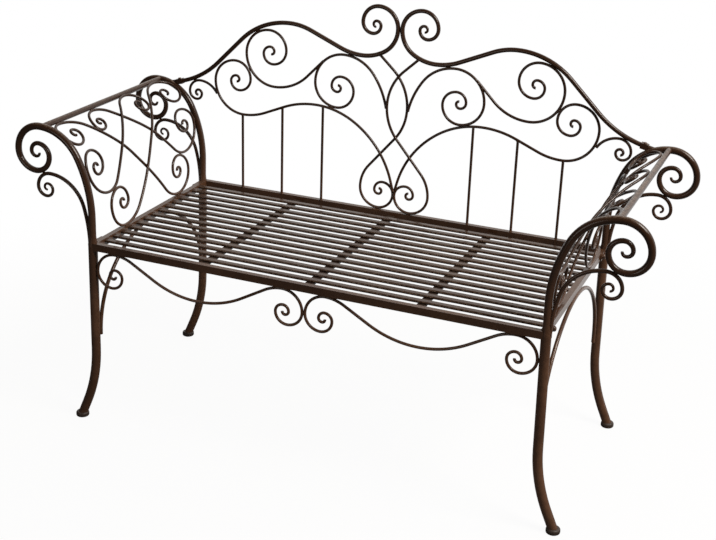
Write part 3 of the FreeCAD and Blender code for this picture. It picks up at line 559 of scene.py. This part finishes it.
# %% [markdown]
# The bench stands on a studio floor that the camera sees as white. Most of that white is the floor's own
# glow, and near the bench a small share of it is lit paint, which keeps a soft shadow under the feet. A pure
# glow would make the bench float. The glossy bars mirror the floor, and a floor that is white all round would
# turn them grey, so in mirrored light it is white only behind the bench, and dark paint under and before it.

# %% The studio floor
FLOOR_HALF = 14.0
FLOOR_GLOW = 0.94
FORE_PAINT = (0.10, 0.10, 0.10, 1)
BACK_PAINT = (0.80, 0.80, 0.80, 1)
BACK_FROM, BACK_TO = 0.2, 1.2
SHADOW_FULL, SHADOW_END = 0.8, 1.7


def sight(board, *kinds):
    """1 for the named kinds of rays, such as those that come from the camera."""
    seen = 0.0
    for kind in kinds:
        seen = board.node("ShaderNodeLightPath", output="Is %s Ray" % kind).above(seen)
    return seen


corners = [(-FLOOR_HALF, -FLOOR_HALF, 0), (FLOOR_HALF, -FLOOR_HALF, 0),
           (FLOOR_HALF, FLOOR_HALF, 0), (-FLOOR_HALF, FLOOR_HALF, 0)]
floor_mesh = bpy.data.meshes.new("studio_floor")
floor_mesh.from_pydata(corners, [], [(0, 1, 2, 3)])
floor = bpy.data.objects.new("studio_floor", floor_mesh)
bpy.context.scene.collection.objects.link(floor)
paint = Finish("floor_paint")
behind = paint.ease(paint.axis("Y"), BACK_FROM, BACK_TO)
seen = sight(paint, "Camera")
paint.set(Base_Color=paint.blend(behind.above(seen), FORE_PAINT, BACK_PAINT), Roughness=0.9)
glow = paint.node("ShaderNodeEmission", (), {"Color": (1, 1, 1, 1), "Strength": 1.0})
lit = Flow(paint, paint.shader.outputs[0])
mirrored = sight(paint, "Glossy", "Transmission") * behind * FLOOR_GLOW
distance = paint.node("ShaderNodeVectorMath", {"operation": "LENGTH"}, {0: paint.place}, "Value")
shadowed = 1 - paint.ease(distance, SHADOW_FULL, SHADOW_END)
share = mirrored.above(seen * (1 - shadowed * (1 - FLOOR_GLOW)))
mixed = paint.node("ShaderNodeMixShader", (), {0: share, 1: lit, 2: glow})
paint.put(paint.tree.nodes["Material Output"].inputs["Surface"], mixed)
floor_mesh.materials.append(paint.material)
floor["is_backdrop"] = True
print("floor:", 2 * FLOOR_HALF, "m wide")

# %% [markdown]
# The light is a studio with two sides: a bright backdrop behind the bench, and a dim room on the camera's
# side. The dim side keeps the fronts of the bars dark, while their edges and the slats mirror the backdrop.
# A large, warm lamp hangs at the upper right, and a weak one stands low in front, where it shows the brown of
# rails and legs. A lamp that stood high in front would also light the slats' front edges, which are dark.

# %% World and lamps
ROOM_LEVEL = 0.05
BACKDROP_LEVEL = 1.0
BACKDROP_TILT = 0.12
BACKDROP_TURN = 0.25
BACKDROP_EDGE = 0.6
BENCH_MIDDLE = Vector((0, 0, 0.5))
LAMPS = {"high_lamp": (Vector((2.6, -0.6, 3.0)), 1.4, 125.0),
         "front_lamp": (Vector((-1.4, -3.6, 0.75)), 1.2, 13.0)}
LAMP_COLOUR = (1.0, 0.94, 0.87)
AIR_COLOUR = (1.0, 0.965, 0.93, 1)

world = bpy.data.worlds.new("studio")
bpy.context.scene.world = world
world.use_nodes = True
studio = Board(world.node_tree)
direction = studio.node("ShaderNodeTexCoord", output="Generated")
side, away, above = [studio.node("ShaderNodeSeparateXYZ", (), {0: direction}, name) for name in "XYZ"]
backdrop = studio.ease(away + above * BACKDROP_TILT + side * BACKDROP_TURN, 0.0, BACKDROP_EDGE)
level = ROOM_LEVEL + backdrop * (BACKDROP_LEVEL - ROOM_LEVEL)
straight = sight(studio, "Camera")
background = world.node_tree.nodes["Background"]
studio.put(background.inputs["Color"], studio.blend(straight, AIR_COLOUR, (1, 1, 1, 1)))
studio.put(background.inputs["Strength"], level + straight * (1 - level))


def soft_lamp(name, place, size, power):
    """A square lamp that faces the middle of the bench."""
    data = bpy.data.lights.new(name, "AREA")
    data.size = size
    data.energy = power
    data.color = LAMP_COLOUR
    lamp = bpy.data.objects.new(name, data)
    lamp.location = place
    lamp.rotation_euler = (place - BENCH_MIDDLE).to_track_quat("Z", "Y").to_euler()
    bpy.context.scene.collection.objects.link(lamp)
    return lamp


lamps = [soft_lamp(name, *row) for name, row in LAMPS.items()]
bpy.context.scene.view_settings.view_transform = "Standard"
print("lamps:", {lamp.name: tuple(round(value, 2) for value in lamp.location) for lamp in lamps})

# %% [markdown] At the end the dressed bench is measured against the bare solids: beads and finishes
# must not make it larger.

# %% Measure and finish
dressed_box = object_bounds()
spans = [[high - low for low, high in zip(*box)] for box in (cad_box, dressed_box)]
print("grew by", [round(dressed - bare, 5) for bare, dressed in zip(*spans)])
